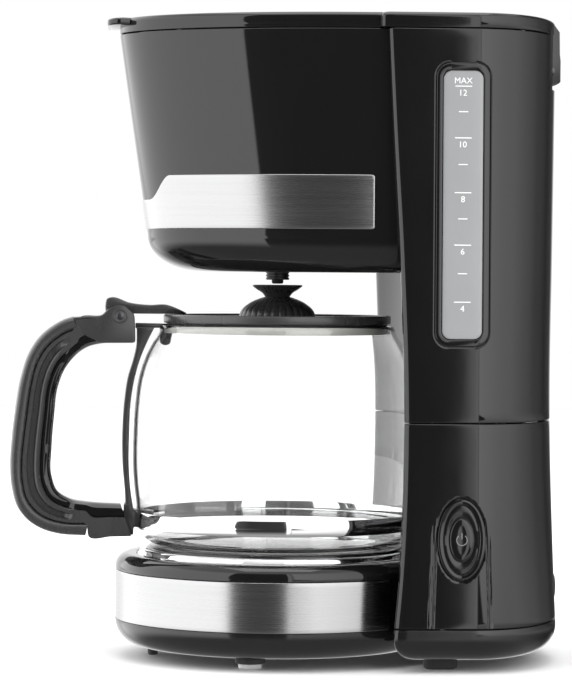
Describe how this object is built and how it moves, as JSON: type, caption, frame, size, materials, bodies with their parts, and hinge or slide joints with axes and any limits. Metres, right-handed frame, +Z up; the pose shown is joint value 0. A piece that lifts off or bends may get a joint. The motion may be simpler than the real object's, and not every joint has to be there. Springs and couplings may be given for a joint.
{
  "type": "drip coffee maker",
  "caption": "Drip coffee maker with hinged top lid, filter basket, water tank with level window, warming plate, drip stop and lift-out glass jug.",
  "frame": {"origin": "on the floor, below the middle of the machine's bounding box", "axes": "+Z up; -Y towards the jug's handle, the front; +X towards the side with the level window and the switch"},
  "size_m": [0.1665, 0.2815, 0.3263],
  "materials": {
    "gloss_casing": "glossy moulded black",
    "black_shell": "satin moulded black",
    "handle_plastic": "semi-gloss dark grey",
    "inner_plastic": "matt black",
    "brushed_band": "fine horizontal brushing",
    "polished_steel": "mirror polished",
    "plate_metal": "non-stick coated",
    "cast_aluminium": "as cast",
    "plain_steel": "plated",
    "jug_glass": "clear",
    "window_plastic": "translucent grey",
    "black_rubber": "matt",
    "pale_rubber": "translucent white",
    "silicone": "translucent",
    "wire_sleeve": "woven sleeve",
    "ceramic_white": "cream moulding"
  },
  "bodies": {
    "machine": {"base_tray": "black_shell", "foot_cups": "black_rubber", "foot_pads": "pale_rubber", "front_nub": "black_rubber", "rear_feet": "black_rubber", "tray_screws": "plain_steel", "lower_housing": "gloss_casing", "base_cover": "gloss_casing", "cord_gland": "black_rubber", "base_trim_band": "brushed_band", "upper_housing": "gloss_casing", "hinge_pin": "plain_steel", "window_surround": "gloss_casing", "level_window": "window_plastic", "filter_housing": "gloss_casing", "housing_trim_band": "brushed_band", "switch_bezel": "gloss_casing", "switch_body": "inner_plastic", "switch_bracket": "inner_plastic", "warming_plate": "plate_metal", "plate_ring": "polished_steel", "heater_casting": "cast_aluminium", "water_tube": "cast_aluminium", "heating_element": "plain_steel", "heater_strap": "plain_steel", "heater_screw": "plain_steel", "thermostat": "plain_steel", "thermal_fuses": "plain_steel", "cold_hose": "silicone", "hot_hose": "silicone", "check_valve": "inner_plastic", "outlet_grommet": "silicone", "riser_tube": "inner_plastic", "outlet_seal": "silicone", "terminal_block": "ceramic_white", "lead_wires": "wire_sleeve"},
    "button": {"power_button": "gloss_casing"},
    "ball": {"valve_ball": "plain_steel"},
    "lid": {"top_lid": "gloss_casing", "lid_duct": "inner_plastic", "spray_head": "inner_plastic"},
    "basket": {"filter_basket": "inner_plastic", "mesh_filter": "plain_steel"},
    "bail": {"basket_bail": "inner_plastic"},
    "drip_stop": {"drip_valve": "black_rubber", "drip_spring": "plain_steel"},
    "carafe": {"carafe_glass": "jug_glass", "carafe_strap": "polished_steel", "jug_handle": "handle_plastic", "handle_cover": "handle_plastic", "strap_screw": "plain_steel", "jug_lid_pin": "plain_steel", "jug_lid": "handle_plastic", "lid_lever": "handle_plastic"}
  },
  "joints": [
    {"name": "lid_hinge", "type": "hinge", "parent": "machine", "child": "lid", "pos_m": [0, 0.1323, 0.3005], "axis": [-1, 0, 0], "range_deg": [0, 95]},
    {"name": "power_press", "type": "slide", "parent": "machine", "child": "button", "axis": [-0.9996, 0, -0.0295], "range_m": [0, 0.003], "stiffness_N_per_m": 300},
    {"name": "ball_lift", "type": "slide", "parent": "machine", "child": "ball", "axis": [0, 0, 1], "range_m": [0, 0.0018]},
    {"name": "basket_lift", "type": "slide", "parent": "machine", "child": "basket", "axis": [0, 0, 1], "range_m": [0, 0.11]},
    {"name": "bail_hinge", "type": "hinge", "parent": "basket", "child": "bail", "pos_m": [0, -0.004, 0.2945], "axis": [-1, 0, 0], "range_deg": [0, 90]},
    {"name": "drip_stop", "type": "slide", "parent": "basket", "child": "drip_stop", "axis": [0, 0, -1], "range_m": [0, 0.005], "deforming": ["drip_spring"]},
    {"name": "carafe_pull", "type": "slide", "parent": "machine", "child": "carafe", "axis": [0, -1, 0], "range_m": [0, 0.25]}
  ],
  "couplings": [
    {"joint": "basket_lift", "follows": "lid_hinge", "m_per_rad": 0.066341},
    {"joint": "bail_hinge", "follows": "lid_hinge", "ratio": 0.94737},
    {"joint": "drip_stop", "follows": "carafe_pull", "ratio": 0.02}
  ]
}
